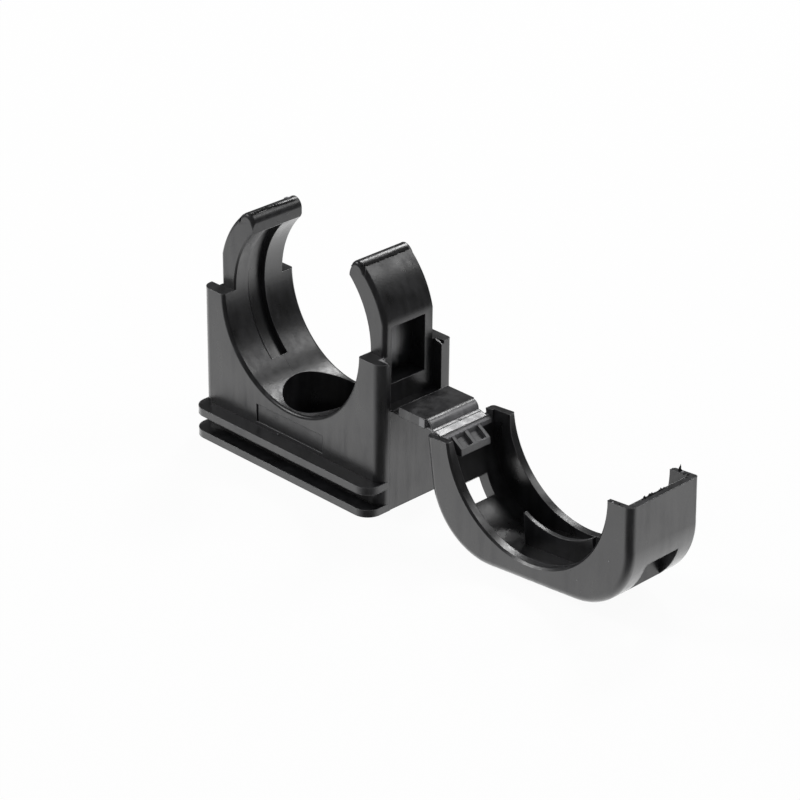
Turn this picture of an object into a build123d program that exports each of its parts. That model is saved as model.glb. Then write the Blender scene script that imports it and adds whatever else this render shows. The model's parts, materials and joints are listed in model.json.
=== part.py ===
from build123d import *
import math
import os

os.makedirs("parts", exist_ok=True)

# Frame: mm, X toward the hinge and the lid, Y along the conduit away from the viewer, Z up.
# Origin on the screw hole axis, in the underside of the base.

# seat and base
seat_radius = 14.1
seat_floor = 9.6
end_wall = 4.65
lip_round = 0.55
base_depth = 14.0
corner_radius = 1.6
back_corner_radius = 0.6
horn_drop = 0.3
rail_overhang = 2.5
rail_corner = 2.45
rail_levels = (1.2, 3.6, 4.8)
end_inset = 0.1
ramp_drop = 0.5
label_length = 14.0
label_height = 2.8
label_depth = 0.2
label_lift = 0.6
label_shift = -0.15
hollow_wall = 2.2
hollow_roof = 3.0

# screw hole
screw_radius = 3.25
head_radius = 6.15
head_floor = 4.0

# fingers: heights from the axis of the seat, tip points out from the mouth and down from the top
finger_wall = 3.0
finger_width = 9.6
finger_shift = 0.15
finger_root = -1.7
finger_rise = 12.7
finger_inset = 4.1
crease_rise = 4.7
belly_inset = 1.7
belly_rise = 8.75
tip_front = (0.4, 0.45)
tip_start = 1.4
tip_crown = 1.35
tip_back = (2.0, 0.18)
tip_end = (2.55, 0.6)
finger_edge_round = 0.7
finger_back_edge = 0.15
finger_inner_edge = 0.25
pocket_width = 6.6
pocket_low = -4.7
catch_gap = 0.15
pocket_wall = 0.5
left_pocket_depth = 1.3
groove_depth = 0.9
groove_edges = (-2.3, -1.2, 1.2)
groove_angle = 136
groove_arc = 93

# hinge: folds and block out from the end of the base
recess_gap = 0.1
strap_width = 9.8
film_width = 9.3
film_drop = 7.5
film = 0.3
block_gap = 1.5
block_length = 5.14
block_rise = 1.15
bead_radius = 1.21
bead_wall = 0.22
bead_hollow = 0.7
fold_b_reach = 8.35
fold_b_drop = 0.18

# lid, in its own tilted frame: x from the hinge side, z up out of the open side
lid_tilt = 5.1
lid_gap = 0.15
lid_lift = 0.5
lid_overhang = 0.3
lid_inset = 0.2
lid_wall = 3.0
lid_arc_gap = 0.55
lid_lip = 0.3
lid_arc_height = 0.3
lid_bend = 10.8
lid_lean = 0.4
lid_edge_round = 1.2
lid_back_round = 0.6
channel_gap = 0.5
lead_in = (0.45, 3.5)
channel_straight = 5.0
kink_angle = 192
shell_side = 1.25
shell_bend = 1.9
shell_floor = 2.0
hinge_drop = 1.1
film_seat = 0.9
rim_step = 0.25
rim_slope = 0.35
rim_drop = 0.42
free_wall = 0.9
free_pocket_depth = 7.0
free_pocket_length = 5.0
land_gap = 0.03

# catches, window and release notch of the lid, heights of the last two below the start of the bend
catch_drop = 4.2
catch_reach = 3.1
catch_width = 5.8
catch_face = 1.05
ramp_top = 1.56
bar_gap = 1.9
bar_pitch = 2.6
gap_top = 1.2
gap_lip = (0.88, 2.5)
gap_floor = (0.5, 2.8)
gap_back = 2.4
core_width = 4.9
window_inner = ((2.93, 1.89), (4.22, 4.93))
window_outer = ((1.31, 2.99), (3.1, 5.65))
window_over = 0.35
release_width = 6.6
release_shift = 0.15
release_floor = 4.5
release_drop = 3.65
release_round = 0.8
rib_drop = 1.9
rib_half_span = 6.4
rib_thickness = 0.7
rib_offset = -0.5

# cuts run past the solid by one value, added pieces start inside it by the other
over = 1.0
bite = 0.2

# derived
half_length = seat_radius + end_wall
base_length = 2 * half_length
half_depth = base_depth / 2
end_face = half_length - end_inset
seat_height = seat_radius + seat_floor
horn_top = seat_height - horn_drop
finger_plane = seat_radius + finger_wall
finger_tip_x = seat_radius - finger_inset
finger_top = seat_height + finger_rise
recess_width = strap_width + 2 * recess_gap
pocket_bottom = seat_height + pocket_low
film_top = horn_top - film_drop
film_bottom = film_top - film
pocket_top = horn_top + catch_drop + catch_gap
hollow_top = film_bottom - hollow_roof
hollow_length = half_length - head_radius - 2 * hollow_wall
hollow_centre = head_radius + hollow_wall + hollow_length / 2
block_start = half_length + block_gap
block_end = block_start + block_length
block_top = film_top + block_rise
fold_b = (half_length + fold_b_reach, film_top - fold_b_drop)
channel_width = finger_width + 2 * channel_gap
lid_origin = (fold_b[0] + lid_gap, film_top + lid_lift)
lid_length = base_length + 2 * lid_overhang
lid_depth = base_depth - 2 * lid_inset
lid_arc_radius = seat_radius + lid_arc_gap
lid_height = lid_arc_radius - lid_arc_height + lid_wall
rib_radius = seat_radius - rib_drop
tilt = math.radians(lid_tilt)
diagonal = math.sqrt(0.5)


def to_lid(x, z):
    # point of the base frame in the lid's own frame
    dx = x - lid_origin[0]
    dz = z - lid_origin[1]
    return (dx * math.cos(tilt) + dz * math.sin(tilt), dz * math.cos(tilt) - dx * math.sin(tilt))


# the first fold lies where the lid, turned over both folds, lands on the horns
closed_x = lid_length / 2 - to_lid(*fold_b)[0]
closed_z = horn_top + land_gap - to_lid(*fold_b)[1]
open_sum = fold_b[0] ** 2 + (fold_b[1] - film_top) ** 2
closed_sum = closed_x**2 + (closed_z - film_top) ** 2
fold_a_x = (open_sum - closed_sum) / (2 * (fold_b[0] - closed_x))


def arcs_of(solid, radius):
    # edges of a solid that are arcs of this radius
    return solid.edges().filter_by(
        lambda e: e.geom_type == GeomType.CIRCLE and abs(e.radius - radius) < 0.01
    )


# finger on the hinge side, drawn at +X
with BuildPart() as finger:
    with BuildSketch(Plane.XZ.offset(-finger_shift)):
        with BuildLine():
            low = seat_height + finger_root
            low_x = math.sqrt(seat_radius**2 - finger_root**2)
            tip_z = seat_height + math.sqrt(seat_radius**2 - finger_tip_x**2)
            mid_angle = math.radians(20)
            ThreePointArc(
                (low_x, low),
                (seat_radius * math.cos(mid_angle), seat_height + seat_radius * math.sin(mid_angle)),
                (finger_tip_x, tip_z),
            )
            Line((finger_tip_x, tip_z), (finger_tip_x, finger_top - tip_start))
            ThreePointArc(
                (finger_tip_x, finger_top - tip_start),
                (finger_tip_x + tip_front[0], finger_top - tip_front[1]),
                (finger_tip_x + tip_crown, finger_top),
            )
            ThreePointArc(
                (finger_tip_x + tip_crown, finger_top),
                (finger_tip_x + tip_back[0], finger_top - tip_back[1]),
                (finger_tip_x + tip_end[0], finger_top - tip_end[1]),
            )
            ThreePointArc(
                (finger_tip_x + tip_end[0], finger_top - tip_end[1]),
                (finger_plane - belly_inset, seat_height + belly_rise),
                (finger_plane, seat_height + crease_rise),
            )
            Polyline((finger_plane, seat_height + crease_rise), (finger_plane, low), (low_x, low))
        make_face()
    extrude(amount=finger_width / 2, both=True)
    side_edges = finger.faces().filter_by(Axis.Y).edges()
    outer_edges = side_edges.filter_by(
        lambda e: e.center().X > seat_radius and e.center().Z > low + bite and e.length > 3
    )
    fillet(outer_edges.filter_by(lambda e: e.center().Y < 0), finger_edge_round)
    chamfer(outer_edges.filter_by(lambda e: e.center().Y > 0), finger_back_edge)
    chamfer(arcs_of(finger, seat_radius), finger_inner_edge)

with BuildPart() as base:
    with BuildSketch(Plane.XY) as block_plan:
        Rectangle(base_length, base_depth)
        corners = block_plan.vertices().group_by(Axis.Y)
        fillet(corners[0], corner_radius)
        fillet(block_plan.vertices().group_by(Axis.Y)[-1], back_corner_radius)
    extrude(amount=horn_top)
    with BuildSketch(Plane.XY):
        RectangleRounded(base_length, base_depth + 2 * rail_overhang, rail_corner)
    extrude(amount=rail_levels[0])
    with BuildSketch(Plane.XY.offset(rail_levels[1])):
        RectangleRounded(base_length, base_depth + 2 * rail_overhang, rail_corner)
    extrude(amount=rail_levels[2] - rail_levels[1])

    # seat for the conduit
    with BuildSketch(Plane.XZ):
        with Locations((0, seat_height)):
            Circle(seat_radius)
    extrude(amount=half_depth + over, both=True, mode=Mode.SUBTRACT)
    fillet(arcs_of(base, seat_radius), lip_round)

    # recesses between the horns, outside the fingers
    for side in (1, -1):
        with Locations((side * (finger_plane + end_wall / 2), 0, horn_top)):
            Box(end_wall, recess_width, 2 * film_drop, mode=Mode.SUBTRACT)
        with Locations((side * (end_face + over), 0, film_top / 2 - over)):
            Box(2 * over, recess_width, film_top + 2 * over, mode=Mode.SUBTRACT)

    # small ramps at the mouth of the hinge recess
    with BuildSketch(Plane.XZ):
        with BuildLine():
            Polyline(
                (finger_plane + bite, horn_top),
                (half_length + bite, horn_top - ramp_drop),
                (half_length + bite, horn_top + over),
                (finger_plane + bite, horn_top + over),
                close=True,
            )
        make_face()
    extrude(amount=recess_width / 2 + ramp_drop, both=True, mode=Mode.SUBTRACT)

    add(finger.part)
    add(finger.part.mirror(Plane.YZ))

    # outer pocket of the hinge side finger, its floor a thin curved wall
    with BuildSketch(Plane.XZ):
        with Locations((finger_plane + over - finger_wall, (pocket_bottom + pocket_top) / 2)):
            Rectangle(2 * finger_wall, pocket_top - pocket_bottom)
        with Locations((0, seat_height)):
            Circle(seat_radius + pocket_wall, mode=Mode.SUBTRACT)
    extrude(amount=pocket_width / 2, both=True, mode=Mode.SUBTRACT)

    # outer pocket of the free side finger
    with Locations((-(finger_plane + over), 0, (pocket_bottom + pocket_top) / 2)):
        Box(2 * (left_pocket_depth + over), pocket_width, pocket_top - pocket_bottom, mode=Mode.SUBTRACT)

    # curved groove inside the free side finger, one flank sloped
    groove_start = math.radians(groove_angle)
    groove_plane = Plane(
        origin=(0, 0, seat_height),
        x_dir=(0, 1, 0),
        z_dir=(math.sin(groove_start), 0, -math.cos(groove_start)),
    )
    with BuildSketch(groove_plane) as groove_section:
        with BuildLine():
            Polyline(
                (groove_edges[0], seat_radius - bite),
                (groove_edges[1], seat_radius + groove_depth),
                (groove_edges[2], seat_radius + groove_depth),
                (groove_edges[2], seat_radius - bite),
                close=True,
            )
        make_face()
    revolve(axis=Axis((0, 0, seat_height), (0, -1, 0)), revolution_arc=groove_arc, mode=Mode.SUBTRACT)

    # screw hole with a wide sunk seat for the head
    with Locations((0, 0, 0)):
        Cylinder(screw_radius, 3 * head_floor, mode=Mode.SUBTRACT)
    with Locations((0, 0, head_floor)):
        Cylinder(
            head_radius, seat_height, align=(Align.CENTER, Align.CENTER, Align.MIN), mode=Mode.SUBTRACT
        )

    # hollows in the underside
    with BuildSketch(Plane.XZ):
        for side in (1, -1):
            with Locations((side * hollow_centre, (hollow_top - over) / 2)):
                Rectangle(hollow_length, hollow_top + over)
        with Locations((0, seat_height)):
            Circle(seat_radius + hollow_wall, mode=Mode.SUBTRACT)
    extrude(amount=half_depth - hollow_wall, both=True, mode=Mode.SUBTRACT)

    # bare label panel on the front
    with Locations((label_shift, -half_depth, rail_levels[2] + label_lift + label_height / 2)):
        Box(label_length, 2 * label_depth, label_height, mode=Mode.SUBTRACT)

    # short root of the hinge film
    with Locations(((end_face - bite + fold_a_x) / 2, 0, film_top - film / 2)):
        Box(fold_a_x - end_face + bite, film_width, film)

base.part.label = "clip_base"
export_step(base.part, "parts/clip_base.step")

with BuildPart() as strap:
    with BuildSketch(Plane.XZ):
        with BuildLine():
            bead_z = block_top - bead_radius
            k = bead_radius * diagonal
            Polyline(
                (block_end, block_top),
                (block_start + bite, block_top),
                (block_start + bite, film_top),
                (fold_a_x, film_top),
                (fold_a_x, film_bottom),
                (block_end, film_bottom),
                (fold_b[0], fold_b[1] - film),
                (fold_b[0], fold_b[1]),
                (block_end + bead_radius, bead_z),
            )
            ThreePointArc(
                (block_end + bead_radius, bead_z),
                (block_end + k, bead_z + k),
                (block_end, block_top),
            )
        make_face()
    extrude(amount=film_width / 2, both=True)
    with Locations(((block_start + block_end) / 2, 0, (film_bottom + block_top) / 2)):
        Box(block_end - block_start, strap_width, block_top - film_bottom)
    # hollow at the front end of the bead
    with BuildSketch(Plane.XZ.offset(film_width / 2 + over)):
        with Locations((block_end, bead_z)):
            Circle(bead_radius - bead_wall)
        with Locations((block_end - bead_radius, bead_z)):
            Rectangle(2 * bead_radius, 4 * bead_radius, mode=Mode.SUBTRACT)
        with Locations((block_end, bead_z - bead_radius)):
            Rectangle(4 * bead_radius, 2 * bead_radius, mode=Mode.SUBTRACT)
    extrude(amount=-over - bead_hollow, mode=Mode.SUBTRACT)

strap.part.label = "hinge_strap"
export_step(strap.part, "parts/hinge_strap.step")

lid_plane = Plane(
    origin=(lid_origin[0], 0, lid_origin[1]),
    x_dir=(math.cos(tilt), 0, math.sin(tilt)),
    z_dir=(0, -1, 0),
)

with BuildPart() as lid:
    bend_x = lid_lean + lid_bend
    bend_z = -lid_height + lid_bend
    s = diagonal
    with BuildSketch(lid_plane):
        with BuildLine():
            Line((0, 0), (lid_lean, bend_z))
            ThreePointArc((lid_lean, bend_z), (bend_x - lid_bend * s, bend_z - lid_bend * s), (bend_x, -lid_height))
            Line((bend_x, -lid_height), (lid_length - bend_x, -lid_height))
            ThreePointArc(
                (lid_length - bend_x, -lid_height),
                (lid_length - bend_x + lid_bend * s, bend_z - lid_bend * s),
                (lid_length - lid_lean, bend_z),
            )
            Line((lid_length - lid_lean, bend_z), (lid_length, 0))
            Line((lid_length, 0), (0, 0))
        make_face()
    extrude(amount=lid_depth / 2, both=True)
    rims = lid.faces().filter_by(Axis.Y).sort_by(Axis.Y)
    for rim, size in ((rims[0], lid_edge_round), (rims[-1], lid_back_round)):
        fillet(rim.edges().filter_by(lambda e: e.length < 30 or e.center().Z < 5), size)

    # round mouth of the two walls
    with BuildSketch(lid_plane):
        with Locations((lid_length / 2, lid_arc_height)):
            Circle(lid_arc_radius)
    extrude(amount=lid_depth / 2 + over, both=True, mode=Mode.SUBTRACT)
    chamfer(arcs_of(lid, lid_arc_radius), lid_lip)

    # channel between the walls
    inner = lid_bend - shell_bend
    with BuildSketch(lid_plane):
        with BuildLine():
            a0 = math.radians(kink_angle)
            kink = (bend_x + inner * math.cos(a0), bend_z + inner * math.sin(a0))
            a1 = math.radians((kink_angle + 270) / 2)
            a2 = math.radians(270)
            end = (bend_x, bend_z - inner)
            mirror_x = lid_length
            Polyline((shell_side, over), (shell_side, -channel_straight), kink)
            ThreePointArc(kink, (bend_x + inner * math.cos(a1), bend_z + inner * math.sin(a1)), end)
            Line(end, (mirror_x - end[0], end[1]))
            ThreePointArc(
                (mirror_x - end[0], end[1]),
                (mirror_x - bend_x - inner * math.cos(a1), bend_z + inner * math.sin(a1)),
                (mirror_x - kink[0], kink[1]),
            )
            Polyline(
                (mirror_x - kink[0], kink[1]),
                (mirror_x - shell_side, -channel_straight),
                (mirror_x - shell_side, over),
                (shell_side, over),
            )
        make_face()
    extrude(amount=channel_width / 2, both=True, mode=Mode.SUBTRACT)

    # on the hinge side the walls lean apart towards the rim
    wide = channel_width / 2 + lead_in[0]
    lead_plane = Plane(
        origin=lid_plane.from_local_coords((shell_side, 0, 0)), x_dir=(0, 1, 0), z_dir=lid_plane.x_dir
    )
    with BuildSketch(lead_plane):
        with BuildLine():
            Polyline(
                (-wide, over),
                (-wide, 0),
                (-channel_width / 2, -lead_in[1]),
                (channel_width / 2, -lead_in[1]),
                (wide, 0),
                (wide, over),
                close=True,
            )
        make_face()
    extrude(amount=lid_length / 2, mode=Mode.SUBTRACT)

    # lowered rim where the film joins, stepped and sloped down to the channel
    with BuildSketch(lid_plane):
        with BuildLine():
            Polyline(
                (-over, over),
                (-over, -hinge_drop),
                (film_seat, -hinge_drop),
                (film_seat, -hinge_drop - rim_step),
                (shell_side + over / 10, -hinge_drop - rim_step - rim_slope),
                (shell_side + over / 10, over),
                close=True,
            )
        make_face()
    extrude(amount=channel_width / 2, both=True, mode=Mode.SUBTRACT)

    # channel widened at the free end, so a finger finds its way in
    with BuildSketch(lid_plane):
        with Locations((lid_length - shell_side - free_pocket_length / 2, (over - free_pocket_depth) / 2)):
            Rectangle(free_pocket_length, free_pocket_depth + over)
    extrude(amount=lid_depth / 2 - free_wall, both=True, mode=Mode.SUBTRACT)

    # rim stops a little short of the horns
    with BuildSketch(lid_plane):
        with Locations((lid_length / 2, over - rim_drop)):
            Rectangle(2 * lid_length, 2 * over)
    extrude(amount=lid_depth, both=True, mode=Mode.SUBTRACT)

    # film strip on the lid side
    with BuildSketch(lid_plane):
        with BuildLine():
            Polyline(
                to_lid(fold_b[0], fold_b[1]),
                (film_seat, -hinge_drop),
                (film_seat, -hinge_drop - 2 * bite),
                (bite, -hinge_drop - 2 * bite),
                to_lid(fold_b[0], fold_b[1] - film),
                close=True,
            )
        make_face()
    extrude(amount=film_width / 2, both=True)

    # catches at both ends: a ramp with three bars over a cross bar
    for end_side in (0, 1):
        def at(x, z):
            return (x, z) if end_side == 0 else (lid_length - x, z)

        with BuildSketch(lid_plane):
            with BuildLine():
                Polyline(
                    at(shell_side - bite, -ramp_top),
                    at(catch_reach, -catch_drop + catch_face),
                    at(catch_reach, -catch_drop),
                    at(shell_side - 2 * bite, -catch_drop),
                    at(shell_side - 2 * bite, -ramp_top),
                    close=True,
                )
            make_face()
        extrude(amount=catch_width / 2, both=True)
        for centre in (-bar_pitch / 2, bar_pitch / 2):
            with BuildSketch(lid_plane.offset(-centre)):
                with BuildLine():
                    Polyline(
                        at(shell_side, -gap_top),
                        at(shell_side + gap_lip[0], -gap_lip[1]),
                        at(shell_side + gap_floor[0], -gap_floor[1]),
                        at(shell_side, -gap_back),
                        close=True,
                    )
                make_face()
            extrude(amount=bar_gap / 2, both=True, mode=Mode.SUBTRACT)

    # window through the bend under the catch at the hinge
    with BuildSketch(lid_plane):
        with BuildLine():
            (upper_in, lower_in), (upper_out, lower_out) = [
                [Vector(x, bend_z - drop) for x, drop in side] for side in (window_inner, window_outer)
            ]
            upper = upper_out - upper_in
            lower = lower_out - lower_in
            Polyline(
                upper_in - upper * window_over,
                upper_out + upper * window_over,
                lower_out + lower * window_over,
                lower_in - lower * window_over,
                close=True,
            )
        make_face()
    extrude(amount=core_width / 2, both=True, mode=Mode.SUBTRACT)

    # release notch at the free end
    notch_plane = Plane(
        origin=lid_plane.from_local_coords((lid_length - release_floor, bend_z - release_drop - lid_height, 0)),
        x_dir=(0, 1, 0),
        z_dir=lid_plane.x_dir,
    )
    with BuildSketch(notch_plane) as notch:
        with Locations((release_shift, 0)):
            Rectangle(release_width, 2 * lid_height)
        fillet(notch.vertices().group_by(Axis.Y)[-1].sort_by(Axis.X)[0], release_round)
    extrude(amount=2 * release_floor, mode=Mode.SUBTRACT)

    # rib that drops into a groove of the conduit
    with BuildSketch(lid_plane.offset(-rib_offset)):
        with Locations((lid_length / 2, shell_floor - lid_height - bite)):
            Rectangle(2 * rib_half_span, lid_height / 2, align=(Align.CENTER, Align.MIN))
        with Locations((lid_length / 2, land_gap - horn_drop)):
            Circle(rib_radius, mode=Mode.SUBTRACT)
    extrude(amount=rib_thickness / 2, both=True)

lid.part.label = "lid"
export_step(lid.part, "parts/lid.step")
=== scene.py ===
import bpy
import bmesh
import json
import math
import random
from mathutils import Matrix, Vector, noise
from mathutils.bvhtree import BVHTree

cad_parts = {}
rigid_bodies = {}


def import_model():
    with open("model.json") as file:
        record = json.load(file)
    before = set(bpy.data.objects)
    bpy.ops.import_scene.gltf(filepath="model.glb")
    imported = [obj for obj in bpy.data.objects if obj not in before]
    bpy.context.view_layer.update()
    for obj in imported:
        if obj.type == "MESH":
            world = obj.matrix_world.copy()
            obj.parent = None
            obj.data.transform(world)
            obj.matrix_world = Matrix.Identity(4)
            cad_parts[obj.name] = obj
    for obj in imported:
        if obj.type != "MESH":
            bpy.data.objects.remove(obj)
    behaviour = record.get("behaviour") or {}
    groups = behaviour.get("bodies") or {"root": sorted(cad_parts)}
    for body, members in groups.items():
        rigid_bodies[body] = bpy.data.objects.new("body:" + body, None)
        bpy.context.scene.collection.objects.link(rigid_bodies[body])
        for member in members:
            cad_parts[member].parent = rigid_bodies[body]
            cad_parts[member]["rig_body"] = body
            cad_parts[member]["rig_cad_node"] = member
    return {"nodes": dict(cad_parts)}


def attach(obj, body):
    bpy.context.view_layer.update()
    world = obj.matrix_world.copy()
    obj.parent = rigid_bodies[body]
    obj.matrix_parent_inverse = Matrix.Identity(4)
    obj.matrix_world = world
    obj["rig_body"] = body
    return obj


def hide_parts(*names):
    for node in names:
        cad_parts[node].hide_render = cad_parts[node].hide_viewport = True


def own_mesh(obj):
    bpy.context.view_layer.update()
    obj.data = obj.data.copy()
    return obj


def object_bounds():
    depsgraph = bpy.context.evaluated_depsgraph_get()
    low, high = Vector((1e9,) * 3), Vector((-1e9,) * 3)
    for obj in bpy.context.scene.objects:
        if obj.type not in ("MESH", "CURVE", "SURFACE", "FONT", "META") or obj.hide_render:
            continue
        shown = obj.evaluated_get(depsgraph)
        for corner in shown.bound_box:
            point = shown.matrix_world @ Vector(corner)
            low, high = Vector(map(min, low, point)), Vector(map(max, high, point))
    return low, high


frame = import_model()
cadLow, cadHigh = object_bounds()
mm = 0.001
print("frame loaded")

cameraView = {
    "aim": (7.88, 7.62, 9.22),  # mm
    "distance": 460.9,
    "azimuth": 45.2,
    "elevation": 27.04,
    "roll": 0.49,
    "lens": 142.2,
    "sensor": 36,
    "nearest": 0.02,  # metres
    "farthest": 20,
}


def linkNew(name, data):
    made = bpy.data.objects.new(name, data)
    bpy.context.scene.collection.objects.link(made)
    return made


def makeCamera(view):
    a = math.radians(view["azimuth"])
    e = math.radians(view["elevation"])
    t = math.radians(view["roll"])
    right = Vector((math.cos(a), math.sin(a), 0))
    forward = Vector((-math.sin(a) * math.cos(e), math.cos(a) * math.cos(e), -math.sin(e)))
    up = right.cross(forward)
    x = right * math.cos(t) + up * math.sin(t)
    y = up * math.cos(t) - right * math.sin(t)
    data = bpy.data.cameras.new("camera")
    data.lens = view["lens"]
    data.sensor_width = view["sensor"]
    data.clip_start = view["nearest"]
    data.clip_end = view["farthest"]
    camera = linkNew("camera", data)
    place = (Vector(view["aim"]) - forward * view["distance"]) * mm
    turn = Matrix((x, y, -forward)).transposed().to_4x4()
    camera.matrix_world = Matrix.Translation(place) @ turn
    bpy.context.scene.camera = camera


makeCamera(cameraView)
bpy.context.scene.view_settings.view_transform = "Standard"
print("camera placed")


def newTree(owner):
    owner.use_nodes = True
    tree = owner.node_tree
    tree.nodes.clear()
    return tree


def addNode(tree, kind, inputs=None, **fields):
    node = tree.nodes.new(kind)
    for key, value in fields.items():
        setattr(node, key, value)
    for key, value in (inputs or {}).items():
        if isinstance(value, bpy.types.NodeSocket):
            tree.links.new(value, node.inputs[key])
        else:
            node.inputs[key].default_value = value
    return node


def mathNode(tree, operation, *values):
    return addNode(tree, "ShaderNodeMath", dict(enumerate(values)), operation=operation).outputs[0]


def vectorNode(tree, operation, *values):
    return addNode(tree, "ShaderNodeVectorMath", dict(enumerate(values)), operation=operation).outputs


def noiseNode(tree, place, scale, **more):
    return addNode(tree, "ShaderNodeTexNoise", {"Vector": place, "Scale": scale, **more}).outputs["Fac"]


def rangeNode(tree, value, fromSpan, toSpan):
    inputs = {"Value": value}
    inputs["From Min"], inputs["From Max"] = fromSpan
    inputs["To Min"], inputs["To Max"] = toSpan
    return addNode(tree, "ShaderNodeMapRange", inputs).outputs[0]


def rampNode(tree, value, span, colours):
    ramp = addNode(tree, "ShaderNodeValToRGB", {"Fac": value})
    for element, position, colour in zip(ramp.color_ramp.elements, span, colours):
        element.position = position
        element.color = (*colour, 1)
    return ramp.outputs["Color"]


def mixValue(tree, share, first, second):
    return addNode(tree, "ShaderNodeMix", {0: share, 2: first, 3: second}, data_type="FLOAT").outputs[0]


def mixColour(tree, share, first, second):
    return addNode(tree, "ShaderNodeMix", {0: share, 6: first, 7: second}, data_type="RGBA").outputs[2]


polyamide = {
    "dark": (0.006, 0.006, 0.0065),
    "light": (0.024, 0.024, 0.0265),
    "toneSpan": (0.12, 0.42),  # part of the mottling that the tones run over
    "rough": (0.25, 0.44),
    "roughSpan": (0.10, 0.42),
    "grainScale": 4300.0,  # one over metres
    "cloudScale": 170.0,
    "streakScale": 900.0,
    "streakStretch": (1.0, 1.0, 0.12),
    "grainDepth": 0.009,  # mm
    "waveDepth": 0.008,
    "ior": 1.53,
    "specular": 0.5,
}

scuffedPolyamide = {
    **polyamide,
    "dark": (0.16, 0.16, 0.17),
    "light": (0.42, 0.42, 0.44),
    "rough": (0.40, 0.60),
    "grainScale": 6800.0,
    "cloudScale": 1500.0,
    "streakScale": 2400.0,
    "grainDepth": 0.006,
    "waveDepth": 0.010,
}

# paler rubbed plastic: real rubbing on the scratches and strap crumb, and a painted highlight along the edge
# beads
rubbedAndEdgeSheenPolyamide = {
    **polyamide,
    "dark": (0.030, 0.030, 0.032),
    "light": (0.085, 0.085, 0.090),
    "rough": (0.26, 0.42),
    "grainScale": 5200.0,
    "cloudScale": 700.0,
    "streakScale": 1500.0,
    "grainDepth": 0.003,
    "waveDepth": 0.006,
}

# torn and flashed plastic is dull
tornPolyamide = {
    **polyamide,
    "dark": (0.003, 0.003, 0.003),
    "light": (0.014, 0.014, 0.015),
    "rough": (0.62, 0.85),
    "grainScale": 5200.0,
    "cloudScale": 900.0,
    "streakScale": 1800.0,
    "grainDepth": 0.006,
    "specular": 0.16,
}

# boxes of painted light on the moulding, where a paler colour stands for highlight and sheen, in mm
# painted sheen: the fold and its strip drawn paler where they catch the light
paintedFoldSheen = {
    "middle": (26.7, 0.0, 15.6),
    "half": (2.4, 5.2, 1.35),
    "fade": 0.08,
    "uneven": 0.20,
    "dark": (0.120, 0.120, 0.126),
    "light": (0.290, 0.290, 0.302),
}

# painted highlight: the catch bars drawn paler where they face the lamps
paintedCatchHighlight = {
    "middle": (30.3, 0.15, 13.4),
    "half": (1.7, 3.0, 1.6),
    "fade": 0.06,
    "uneven": 0.12,
    "dark": (0.055, 0.055, 0.058),
    "light": (0.170, 0.170, 0.178),
}

# painted light: the lit floor of the finger's outer pocket drawn paler, with streaks
paintedPocketLight = {
    "middle": (14.3, -1.7, 23.9),
    "half": (0.85, 2.4, 3.7),
    "fade": 0.45,
    "uneven": 1.1,
    "dark": (0.050, 0.050, 0.052),
    "light": (0.340, 0.340, 0.350),
}

# painted highlight: the back edge of the right horn top drawn near white
paintedHornHighlight = {
    "middle": (17.6, -5.05, 23.25),
    "half": (0.85, 0.55, 0.34),
    "fade": 0.3,
    "uneven": 0.9,
    "dark": (0.100, 0.100, 0.102),
    "light": (0.700, 0.700, 0.710),
}

paleSpan = (0.10, 0.45)  # part of the mottling that the paler tones run over


def addPaleZone(tree, place, mottle, colour, zone):
    # painted light: paler colour in the box, standing in for highlight and sheen
    offset = vectorNode(tree, "SUBTRACT", place, [v * mm for v in zone["middle"]])[0]
    share = vectorNode(tree, "DIVIDE", offset, [v * mm for v in zone["half"]])[0]
    axes = addNode(tree, "ShaderNodeSeparateXYZ", {0: vectorNode(tree, "ABSOLUTE", share)[0]}).outputs
    reach = mathNode(tree, "MAXIMUM", mathNode(tree, "MAXIMUM", axes[0], axes[1]), axes[2])
    uneven = mathNode(tree, "MULTIPLY_ADD", mottle, zone["uneven"], reach)
    inside = rangeNode(tree, uneven, (1.0, 1.0 + zone["fade"]), (1.0, 0.0))
    paler = rampNode(tree, mottle, paleSpan, (zone["dark"], zone["light"]))
    return mixColour(tree, inside, colour, paler)


def makePolyamide(name, look, zones=()):
    material = bpy.data.materials.new(name)
    tree = newTree(material)
    place = addNode(tree, "ShaderNodeTexCoord").outputs["Object"]
    cloud = noiseNode(tree, place, look["cloudScale"], Detail=5.0, Roughness=0.6)
    grain = noiseNode(tree, place, look["grainScale"], Detail=3.0, Roughness=0.65)
    # flow streaks run up the walls, as the melt did
    stretch = {"Vector": place, "Scale": look["streakStretch"]}
    stretched = addNode(tree, "ShaderNodeMapping", stretch).outputs["Vector"]
    streak = noiseNode(tree, stretched, look["streakScale"], Detail=4.0)
    mottle = mathNode(tree, "MULTIPLY", cloud, streak)
    colour = rampNode(tree, mottle, look["toneSpan"], (look["dark"], look["light"]))
    # paler zones of painted light laid over the mottled tone
    for zone in zones:
        colour = addPaleZone(tree, place, mottle, colour, zone)
    roughness = rangeNode(tree, mottle, look["roughSpan"], look["rough"])
    waves = addNode(
        tree, "ShaderNodeBump", {"Height": cloud, "Strength": 0.5, "Distance": look["waveDepth"] * mm}
    ).outputs[0]
    bump = addNode(
        tree,
        "ShaderNodeBump",
        {"Height": grain, "Strength": 0.8, "Distance": look["grainDepth"] * mm, "Normal": waves},
    ).outputs[0]
    shader = addNode(
        tree,
        "ShaderNodeBsdfPrincipled",
        {"Base Color": colour, "Roughness": roughness, "Normal": bump},
    )
    shader.inputs["IOR"].default_value = look["ior"]
    shader.inputs["Specular IOR Level"].default_value = look["specular"]
    addNode(tree, "ShaderNodeOutputMaterial", {"Surface": shader.outputs[0]})
    return material


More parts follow.
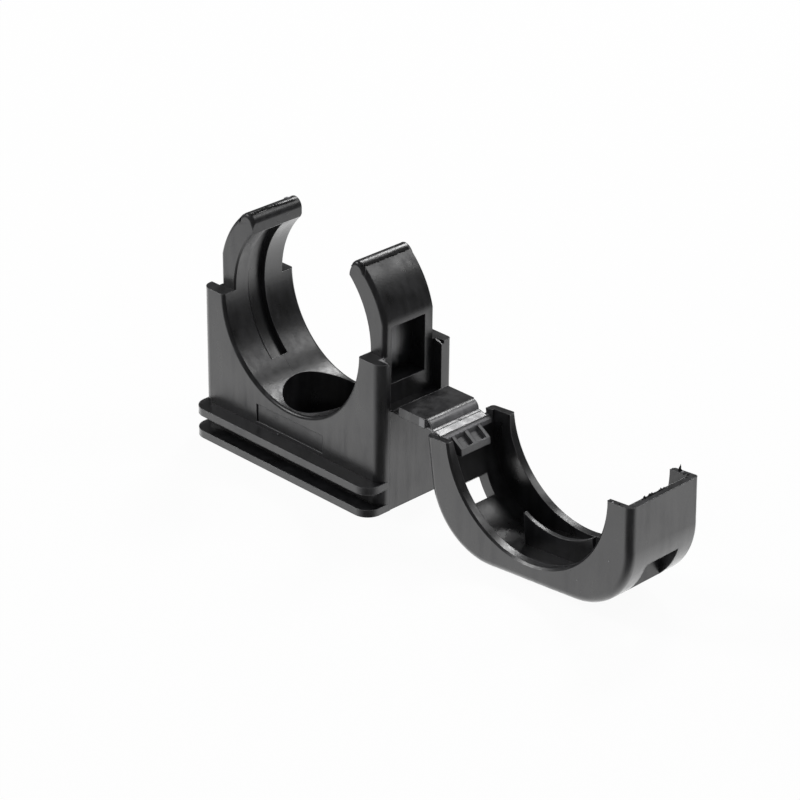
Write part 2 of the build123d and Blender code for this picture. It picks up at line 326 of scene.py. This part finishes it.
whitenedPlastic = makePolyamide("whitenedPlastic", scuffedPolyamide)
rubbedAndEdgeSheenPlastic = makePolyamide("rubbedAndEdgeSheenPlastic", rubbedAndEdgeSheenPolyamide)
tornPlastic = makePolyamide("tornPlastic", tornPolyamide)
basePlastic = makePolyamide("basePlastic", polyamide, [paintedPocketLight, paintedHornHighlight])
foldPlastic = makePolyamide("foldPlastic", polyamide, [paintedFoldSheen])
lidPlastic = makePolyamide("lidPlastic", polyamide, [paintedFoldSheen, paintedCatchHighlight])
nodePlastic = {"clip_base": basePlastic, "hinge_strap": foldPlastic, "lid": lidPlastic}

for nodeName, node in frame["nodes"].items():
    node.data.materials.clear()
    node.data.materials.append(nodePlastic[nodeName])
print("plastic on the moulding")

weldReach = 0.0005  # mm


def weldedCopy(mesh):
    # the moulding's own mesh, with the doubled corners of its faces joined
    bm = bmesh.new()
    bm.from_mesh(mesh)
    bmesh.ops.remove_doubles(bm, verts=bm.verts, dist=weldReach * mm)
    bm.normal_update()
    return bm


def makePiece(name, bm, body, material, smooth=None):
    mesh = bpy.data.meshes.new(name)
    bm.normal_update()
    bm.to_mesh(mesh)
    bm.free()
    if smooth is not None:
        mesh.polygons.foreach_set("use_smooth", [True] * len(mesh.polygons))
        mesh.set_sharp_from_angle(angle=math.radians(smooth))
    mesh.materials.append(material)
    piece = linkNew(name, mesh)
    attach(piece, body)
    return piece


def smoothShell(shell, sharp):
    mesh = shell.data
    if "custom_normal" in mesh.attributes:
        mesh.attributes.remove(mesh.attributes["custom_normal"])
    mesh.polygons.foreach_set("use_smooth", [True] * len(mesh.polygons))
    mesh.set_sharp_from_angle(angle=math.radians(sharp))
    even = shell.modifiers.new("evenNormals", "WEIGHTED_NORMAL")
    even.keep_sharp = True


lidFrame = {
    "origin": (27.25, 16.4),  # x and z of its hinge corner, mm
    "tilt": 5.1,
    "length": 38.1,
}


def fromLid(x, z, y):
    t = math.radians(lidFrame["tilt"])
    ox, oz = lidFrame["origin"]
    return Vector((ox + x * math.cos(t) - z * math.sin(t), y, oz + x * math.sin(t) + z * math.cos(t))) * mm


def addPrism(bm, outline, low, high):
    # outline in the lid's frame, pulled across the lid
    near = [bm.verts.new(fromLid(x, z, low)) for x, z in outline]
    far = [bm.verts.new(fromLid(x, z, high)) for x, z in outline]
    count = len(outline)
    faces = [bm.faces.new(near), bm.faces.new(list(reversed(far)))]
    for i in range(count):
        j = (i + 1) % count
        faces.append(bm.faces.new((near[j], near[i], far[i], far[j])))
    bmesh.ops.recalc_face_normals(bm, faces=faces)


# points in the lid's frame: x along the lid from its hinge, z up from it, mm
lidShell = {
    "pocket": ((1.25, -1.2), (3.2, -2.3), (2.95, -3.03), (2.61, -3.47), (1.25, -2.41)),
    "pocketWidth": 1.9,
    "pocketPitch": 2.6,
    "windowInner": ((3.5, -8.06), (4.62, -11.23)),
    "windowOuter": ((-0.63, -10.86), (0.86, -13.64)),
    "windowWidth": 4.9,
    "sharp": 28,
}


def makeLidCuts(look):
    bm = bmesh.new()
    for middle in (-look["pocketPitch"] / 2, look["pocketPitch"] / 2):
        low, high = middle - look["pocketWidth"] / 2, middle + look["pocketWidth"] / 2
        addPrism(bm, look["pocket"], low, high)
        addPrism(bm, [(lidFrame["length"] - x, z) for x, z in look["pocket"]], low, high)
    upperIn, lowerIn = look["windowInner"]
    upperOut, lowerOut = look["windowOuter"]
    half = look["windowWidth"] / 2
    addPrism(bm, (upperIn, upperOut, lowerOut, lowerIn), -half, half)
    mesh = bpy.data.meshes.new("lidCuts")
    bm.to_mesh(mesh)
    bm.free()
    return linkNew("lidCuts", mesh)


def makeLidShell(node, look):
    # the moulded lid with its catch pockets and window cut to their full size
    lid = makePiece("lidShell", weldedCopy(node.data), node["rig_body"], lidPlastic)
    cuts = makeLidCuts(look)
    cut = lid.modifiers.new("cuts", "BOOLEAN")
    cut.operation = "DIFFERENCE"
    cut.solver = "EXACT"
    cut.object = cuts
    done = bpy.data.meshes.new_from_object(lid.evaluated_get(bpy.context.evaluated_depsgraph_get()))
    lid.modifiers.clear()
    lid.data = done
    done.name = "lidShell"
    bpy.data.objects.remove(cuts)
    smoothShell(lid, look["sharp"])
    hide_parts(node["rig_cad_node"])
    return lid


lidPiece = makeLidShell(frame["nodes"]["lid"], lidShell)
print("lid cut:", len(lidPiece.data.polygons), "faces")

baseShell = {
    "fingerFront": -4.65,  # y of the fingers' front faces, mm
    "onPlane": 0.01,
    "fingerFoot": 24,  # z above which the seams inside flat faces go
    "tipFoot": 34.2,  # z above which the front outline is rounded
    "round": 0.62,
    "steps": 4,
    "flatAngle": 0.05,
    "sharp": 28,
}


def inReach(edge, foot):
    return len(edge.link_faces) == 2 and min(v.co.z for v in edge.verts) >= foot * mm


def isFront(face, look):
    off = abs(face.calc_center_median().y - look["fingerFront"] * mm)
    return face.normal.y < -0.999 and off < look["onPlane"] * mm


def isSide(face):
    return abs(face.normal.y) < 0.1


def isTipEdge(edge, look):
    if not inReach(edge, look["tipFoot"]):
        return False
    one, two = edge.link_faces
    return (isFront(one, look) and isSide(two)) or (isFront(two, look) and isSide(one))


def makeBaseShell(node, look):
    # the moulded base with the front outline of both finger tips rounded over
    bm = weldedCopy(node.data)
    onFinger = [edge for edge in bm.edges if inReach(edge, look["fingerFoot"])]
    flat = [edge for edge in onFinger if edge.calc_face_angle(0) < math.radians(look["flatAngle"])]
    bmesh.ops.dissolve_edges(bm, edges=flat, use_verts=False, use_face_split=False)
    bm.normal_update()
    bm.verts.index_update()
    outline = [edge for edge in bm.edges if isTipEdge(edge, look)]
    corners = sorted({v for edge in outline for v in edge.verts}, key=lambda v: v.index)
    bmesh.ops.bevel(
        bm,
        geom=outline + corners,
        offset=look["round"] * mm,
        offset_type="OFFSET",
        segments=look["steps"],
        profile=0.5,
        affect="EDGES",
        clamp_overlap=False,
    )
    print("finger tips:", len(outline), "edges rounded")
    base = makePiece("baseShell", bm, node["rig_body"], basePlastic)
    smoothShell(base, look["sharp"])
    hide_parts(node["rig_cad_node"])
    return base


basePiece = makeBaseShell(frame["nodes"]["clip_base"], baseShell)
shownMesh = {
    "clip_base": basePiece.data,
    "hinge_strap": frame["nodes"]["hinge_strap"].data,
    "lid": lidPiece.data,
}


def addRing(bm, centre, side, other, radius, sides):
    ring = []
    for k in range(sides):
        turn = math.tau * k / sides
        ring.append(bm.verts.new(centre + (side * math.cos(turn) + other * math.sin(turn)) * radius))
    return ring


def joinRows(bm, rows):
    # closed skin over rows of equally many points
    count = len(rows[0])
    for a, b in zip(rows, rows[1:]):
        for k in range(count):
            m = (k + 1) % count
            bm.faces.new((a[k], a[m], b[m], b[k]))
    bm.faces.new(list(reversed(rows[0])))
    bm.faces.new(rows[-1])


edgeBead = {
    "radius": 0.07,  # mm
    "sides": 6,
    "angle": 60,
    "shortest": 0.02,
}


def makeEdgeBeads(name, source, body, look):
    # a moulded edge is never razor sharp: a hair of a bead runs along each outer corner
    bm = weldedCopy(source)
    beads = bmesh.new()
    radius = look["radius"] * mm
    for edge in bm.edges:
        if len(edge.link_faces) != 2 or edge.calc_length() < look["shortest"] * mm:
            continue
        if edge.calc_face_angle_signed(0) < math.radians(look["angle"]):
            continue
        a, b = edge.verts
        along = (b.co - a.co).normalized()
        outward = (edge.link_faces[0].normal + edge.link_faces[1].normal).normalized()
        side = along.cross(outward)
        centres = (a.co - outward * radius, b.co - outward * radius)
        joinRows(beads, [addRing(beads, centre, outward, side, radius, look["sides"]) for centre in centres])
    bm.free()
    bmesh.ops.recalc_face_normals(beads, faces=beads.faces)
    print(name, len(beads.faces), "faces")
    # the beads take the paler rubbed plastic: a painted highlight along each outer edge
    makePiece(name, beads, body, rubbedAndEdgeSheenPlastic, smooth=65)


for nodeName, node in frame["nodes"].items():
    makeEdgeBeads(nodeName + "EdgeBeads", shownMesh[nodeName], node["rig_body"], edgeBead)

carriers = {}
for nodeName, node in frame["nodes"].items():
    mesh = shownMesh[nodeName]
    carriers[node["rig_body"]] = BVHTree.FromPolygons(
        [v.co for v in mesh.vertices], [tuple(p.vertices) for p in mesh.polygons]
    )


def settle(body, point):
    # nearest spot on the moulding and the way it faces
    spot, normal, _, _ = carriers[body].find_nearest(Vector(point) * mm)
    return spot, normal


def walkLine(points, step):
    # evenly spaced places along a line, with the way it runs there
    lengths = [(b - a).length for a, b in zip(points, points[1:])]
    count = max(3, int(sum(lengths) / step))
    for i in range(count + 1):
        reach = sum(lengths) * i / count
        part = 0
        while part < len(lengths) - 1 and reach > lengths[part]:
            reach -= lengths[part]
            part += 1
        along = (points[part + 1] - points[part]).normalized()
        yield points[part] + along * reach, along


flashForm = {
    "swell": (1.7, 0.45),  # gain and loss of the slow swell along the line
    "swellShift": 3.7,
    "heightSpread": (0.6, 1.2),
    "widthSpread": (0.7, 1.2),
    "lean": 0.4,
    "shoulder": (0.4, 0.7),  # shares of its half width and of its height
    "overhang": 1.5,
}


def makeFlash(name, body, material, look):
    # ragged fin of flash along a line on the moulding
    dice = random.Random(look["seed"])
    low, high = look["height"]
    gain, loss = flashForm["swell"]
    aside, raised = flashForm["shoulder"]
    up = Vector(look["up"]).normalized()
    walk = list(walkLine([Vector(p) for p in look["line"]], look["step"]))
    bm = bmesh.new()
    rows = []
    for i, (target, along) in enumerate(walk):
        spot, _ = settle(body, target)
        side = along.cross(up).normalized()
        spotInNoise = Vector((i * look["ragged"], look["seed"] * flashForm["swellShift"], 0))
        swell = noise.noise(spotInNoise) * 0.5 + 0.5
        spread = dice.uniform(*flashForm["heightSpread"])
        height = low + (high - low) * max(0.0, swell * gain - loss) * spread
        if i in (0, len(walk) - 1):
            height = 0.0
        half = look["width"] / 2 * dice.uniform(*flashForm["widthSpread"])
        lean = side * dice.uniform(-flashForm["lean"], flashForm["lean"]) * height
        row = (
            side * half - up * look["sink"],
            side * half * aside + lean + up * height * raised,
            lean * flashForm["overhang"] + up * height,
            side * half * -aside + lean + up * height * raised,
            side * -half - up * look["sink"],
        )
        rows.append([bm.verts.new(spot + offset * mm) for offset in row])
    joinRows(bm, rows)
    bmesh.ops.recalc_face_normals(bm, faces=bm.faces)
    makePiece(name, bm, body, material, smooth=50)


leftTipFlash = {
    "line": (
        (-10.95, -4.2, 36.35),
        (-11.1, -2.0, 36.37),
        (-10.95, 0.4, 36.36),
        (-10.8, 2.2, 36.33),
        (-10.75, 4.3, 36.3),
    ),
    "up": (-0.2, 0, 1),
    "height": (0.0, 0.17),
    "width": 0.56,
    "sink": 0.08,
    "step": 0.14,
    "ragged": 0.55,
    "seed": 3,
}
makeFlash("leftTipFlash", "clip_base", tornPlastic, leftTipFlash)

rightTipFlash = {
    "line": ((12.52, -4.1, 36.5), (12.6, -1.0, 36.5), (12.6, 2.0, 36.5), (12.52, 4.6, 36.5)),
    "up": (0.1, 0, 1),
    "height": (0.05, 0.13),
    "width": 0.84,
    "sink": 0.10,
    "step": 0.16,
    "ragged": 0.7,
    "seed": 8,
}
makeFlash("rightTipFlash", "clip_base", tornPlastic, rightTipFlash)

catchFlash = {
    "line": ((30.55, -2.85, 12.55), (30.6, 0.0, 12.5), (30.55, 2.85, 12.6)),
    "up": (0.35, 0, -1),
    "height": (0.0, 0.14),
    "width": 0.24,
    "sink": 0.10,
    "step": 0.12,
    "ragged": 0.8,
    "seed": 11,
}
makeFlash("catchFlash", "lid", tornPlastic, catchFlash)

foldRidge = {
    "line": ((28.6, -3.9, 14.9), (28.6, 0.8, 15.0), (28.6, 4.6, 15.15)),
    "up": (0.3, 0, 1),
    "height": (0.03, 0.12),
    "width": 0.22,
    "sink": 0.05,
    "step": 0.12,
    "ragged": 0.9,
    "seed": 5,
}
makeFlash("foldRidge", "lid", whitenedPlastic, foldRidge)

rimBurr = {
    "line": ((64.15, -3.6, 19.25), (64.1, -1.8, 19.3), (64.1, 0.2, 19.3), (64.05, 1.2, 19.3)),
    "up": (-0.5, 0, 1),
    "height": (0.0, 0.34),
    "width": 0.5,
    "sink": 0.12,
    "step": 0.12,
    "ragged": 0.42,
    "seed": 21,
}
makeFlash("rimBurr", "lid", tornPlastic, rimBurr)
print("flash along the edges")

tornSpike = {
    "foot": (62.2, 6.5, 19.2),  # where the runner was torn off the rim, mm
    "tip": (62.0, 6.6, 20.0),
    "width": 0.5,
    "widthSpread": (0.75, 1.2),
    "taper": 0.8,
    "point": 0.01,
    "sunk": 0.12,
    "bend": 0.09,
    "bendTurn": 5.0,  # radians from foot to tip
    "rings": 9,
    "sides": 8,
    "seed": 17,
}


def makeSpike(name, body, material, look):
    dice = random.Random(look["seed"])
    foot, _ = settle(body, look["foot"])
    tip = Vector(look["tip"]) * mm
    along = (tip - foot).normalized()
    side = along.cross(Vector((0, 1, 0))).normalized()
    other = along.cross(side)
    bm = bmesh.new()
    rings = []
    for i in range(look["rings"] + 1):
        share = i / look["rings"]
        centre = foot.lerp(tip, share) - along * look["sunk"] * mm * (1 - share)
        centre += side * math.sin(share * look["bendTurn"]) * look["bend"] * mm
        width = look["width"] * (1 - share) ** look["taper"] * dice.uniform(*look["widthSpread"])
        rings.append(addRing(bm, centre, side, other, (width / 2 + look["point"]) * mm, look["sides"]))
    joinRows(bm, rings)
    bmesh.ops.recalc_face_normals(bm, faces=bm.faces)
    return makePiece(name, bm, body, material, smooth=60)


spike = makeSpike("tornSpike", "lid", tornPlastic, tornSpike)
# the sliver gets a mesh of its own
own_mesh(spike)

crumbForm = {
    "long": (0.8, 1.4),
    "wide": (0.6, 1.0),
    "bumpScale": 2.2,
    "bumpHeight": 0.45,
    "drift": 0.05,
}


def makeCrumbs(name, body, material, look):
    # small torn crumbs and specks, each half sunk where it sticks
    dice = random.Random(look["seed"])
    bm = bmesh.new()
    for point, size in look["crumbs"]:
        spot, normal = settle(body, point)
        turn = normal.to_track_quat("Z", "Y").to_matrix().to_4x4()
        long = dice.uniform(*crumbForm["long"])
        wide = dice.uniform(*crumbForm["wide"])
        stretch = Matrix.Diagonal((long, wide, look["tall"], 1))
        made = bmesh.ops.create_icosphere(
            bm, subdivisions=2, radius=size / 2 * mm, matrix=Matrix.Translation(spot) @ turn @ stretch
        )
        for vert in made["verts"]:
            away = vert.co - spot
            shift = Vector((dice.random() * crumbForm["drift"], look["seed"], size))
            bump = noise.noise(away / (size * mm) * crumbForm["bumpScale"] + shift)
            vert.co = spot + away * (1 + crumbForm["bumpHeight"] * bump)
    makePiece(name, bm, body, material, smooth=50)


# each crumb's place and size, mm
baseCrumbs = {
    "crumbs": (
        ((-11.9, 3.6, 36.3), 0.55),
        ((-11.5, 3.9, 36.3), 0.35),
        ((-10.1, -3.1, 29.6), 0.22),
        ((-2.95, -6.8, 7.5), 0.16),
        ((-2.55, -7.0, 4.97), 0.34),
        ((-10.6, -2.65, 14.4), 0.18),
        ((-11.7, -4.2, 31.6), 0.24),
    ),
    "tall": 0.6,
    "seed": 2,
}
makeCrumbs("baseCrumbs", "clip_base", whitenedPlastic, baseCrumbs)

baseNicks = {
    "crumbs": (
        ((12.3, -4.5, 36.2), 0.36),
        ((12.8, 3.7, 36.2), 0.34),
        ((10.2, -4.6, 35.4), 0.22),
        ((-10.7, 3.9, 36.2), 0.30),
        ((-11.2, -0.9, 36.3), 0.38),
        ((-11.1, 0.6, 36.3), 0.30),
    ),
    "tall": 0.5,
    "seed": 6,
}
makeCrumbs("baseNicks", "clip_base", tornPlastic, baseNicks)

lidCrumbs = {
    "crumbs": (
        ((62.7, 6.3, 19.1), 0.42),
        ((61.8, -6.8, 10.3), 0.22),
        ((55.0, -6.8, 6.0), 0.16),
        ((56.3, -6.8, 5.1), 0.16),
        ((57.1, -6.8, 3.6), 0.14),
        ((61.8, -6.5, 19.05), 0.30),
    ),
    "tall": 0.5,
    "seed": 4,
}
makeCrumbs("lidCrumbs", "lid", whitenedPlastic, lidCrumbs)

rimCrumbs = {
    "crumbs": (
        ((63.3, 6.0, 19.2), 0.40),
        ((63.9, 6.05, 19.25), 0.42),
        ((64.2, 5.4, 19.2), 0.3),
        ((62.9, -6.4, 19.0), 0.3),
    ),
    "tall": 0.5,
    "seed": 9,
}
makeCrumbs("rimCrumbs", "lid", tornPlastic, rimCrumbs)

strapCrumb = {
    "crumbs": (((27.0, 0.36, 15.7), 0.5), ((27.0, 0.75, 15.7), 0.3)),
    "tall": 0.25,
    "seed": 14,
}
makeCrumbs("strapCrumb", "hinge_strap", rubbedAndEdgeSheenPlastic, strapCrumb)
print("crumbs and nicks stuck on")

baseScratches = {
    "lines": (
        ((-14.0, 0.7, 29.0), (-15.0, 0.5, 23.1)),
        ((-10.0, 1.8, 34.8), (-10.0, 2.8, 34.85)),
        ((13.5, 3.75, 34.9), (14.7, 3.8, 33.5)),
        ((-8.75, 0.2, 12.64), (-6.55, -0.05, 11.2)),
        ((-10.0, 0.05, 34.6), (-10.4, 0.5, 33.8), (-11.3, 1.24, 32.1)),
    ),
    "width": 0.10,
    "proud": 0.02,
    "sunk": 0.02,
    "taper": 0.08,
    "step": 0.2,
}


def makeScratches(name, body, material, look):
    # hairlines rubbed into the skin, laid on the surface they cross
    bm = bmesh.new()
    for line in look["lines"]:
        points = [Vector(p) for p in line]
        steps = max(2, int((points[-1] - points[0]).length / look["step"]))
        rows = []
        for i in range(steps + 1):
            share = i / steps * (len(points) - 1)
            part = min(int(share), len(points) - 2)
            spot, normal = settle(body, points[part].lerp(points[part + 1], share - part))
            along = (points[part + 1] - points[part]).normalized()
            side = along.cross(normal).normalized()
            thin = math.sin(math.pi * (look["taper"] + (1 - 2 * look["taper"]) * i / steps))
            half = side * look["width"] / 2 * thin
            row = (half - normal * look["sunk"], normal * look["proud"] * thin, -half - normal * look["sunk"])
            rows.append([bm.verts.new(spot + offset * mm) for offset in row])
        joinRows(bm, rows)
    bmesh.ops.recalc_face_normals(bm, faces=bm.faces)
    makePiece(name, bm, body, material, smooth=40)


makeScratches("baseScratches", "clip_base", rubbedAndEdgeSheenPlastic, baseScratches)
print("scratches rubbed in")

studio = {
    "floorSize": 3.0,  # metres
    "floorColour": (0.92, 0.92, 0.92),
    "floorGlow": 0.95,
    "worldLight": 0.30,
    "cameraSide": (0.707, -0.707, 0.0),
    "cameraSideSpan": (0.35, 0.7),
    "sideGlow": 2.1,
    "cameraSideGlow": 0.02,
    "lowSpan": (-0.43, -0.18),
    "skyGlow": 0.16,
    "lampAim": (0.02, 0.0, 0.02),
}


def makeFloor(look):
    half = look["floorSize"] / 2
    z = cadLow.z
    corners = [(-half, -half, z), (half, -half, z), (half, half, z), (-half, half, z)]
    mesh = bpy.data.meshes.new("floor")
    mesh.from_pydata(corners, [], [(0, 1, 2, 3)])
    floor = linkNew("floor", mesh)
    floor.visible_glossy = False
    material = bpy.data.materials.new("paleFloor")
    tree = newTree(material)
    path = addNode(tree, "ShaderNodeLightPath").outputs["Is Camera Ray"]
    share = mathNode(tree, "MULTIPLY", path, look["floorGlow"])
    matt = addNode(tree, "ShaderNodeBsdfDiffuse", {"Color": (*look["floorColour"], 1)}).outputs[0]
    glow = addNode(tree, "ShaderNodeEmission", {"Color": (1, 1, 1, 1), "Strength": 1.0}).outputs[0]
    mixed = addNode(tree, "ShaderNodeMixShader", {0: share, 1: matt, 2: glow}).outputs[0]
    addNode(tree, "ShaderNodeOutputMaterial", {"Surface": mixed})
    mesh.materials.append(material)


def makeWorld(look):
    world = bpy.data.worlds.new("studio")
    bpy.context.scene.world = world
    tree = newTree(world)
    path = addNode(tree, "ShaderNodeLightPath")
    direction = addNode(tree, "ShaderNodeTexCoord").outputs["Generated"]
    # the camera's side of the room is dark
    facing = vectorNode(tree, "DOT_PRODUCT", direction, look["cameraSide"])["Value"]
    side = rangeNode(tree, facing, look["cameraSideSpan"], (look["sideGlow"], look["cameraSideGlow"]))
    height = addNode(tree, "ShaderNodeSeparateXYZ", {0: direction}).outputs["Z"]
    low = rangeNode(tree, height, look["lowSpan"], (1.0, 0.0))
    mirrored = mathNode(tree, "MAXIMUM", mathNode(tree, "MULTIPLY", side, low), look["skyGlow"])
    lit = mixValue(tree, path.outputs["Is Glossy Ray"], look["worldLight"], mirrored)
    shown = mixValue(tree, path.outputs["Is Camera Ray"], lit, 1.0)
    back = addNode(tree, "ShaderNodeBackground", {"Color": (1, 1, 1, 1), "Strength": shown})
    addNode(tree, "ShaderNodeOutputWorld", {"Surface": back.outputs[0]})


# places and sizes in metres
softBoxes = {
    "topBack": {"place": (-0.20, 0.50, 0.60), "size": (0.16, 0.16), "watts": 2.0},
    "frontLeft": {"place": (-0.54, -0.40, 0.53), "size": (0.28, 0.28), "watts": 2.8},
    "rightBack": {"place": (0.30, 0.50, 0.54), "size": (0.26, 0.26), "watts": 1.1},
}


def makeSoftBox(name, look):
    data = bpy.data.lights.new(name, "AREA")
    data.shape = "RECTANGLE"
    data.size, data.size_y = look["size"]
    data.energy = look["watts"]
    lamp = linkNew(name, data)
    place = Vector(look["place"])
    lamp.location = place
    lamp.rotation_mode = "QUATERNION"
    lamp.rotation_quaternion = (place - Vector(studio["lampAim"])).to_track_quat("Z", "Y")


makeFloor(studio)
makeWorld(studio)
for boxName, boxLook in softBoxes.items():
    makeSoftBox(boxName, boxLook)
print("floor and lamps set")
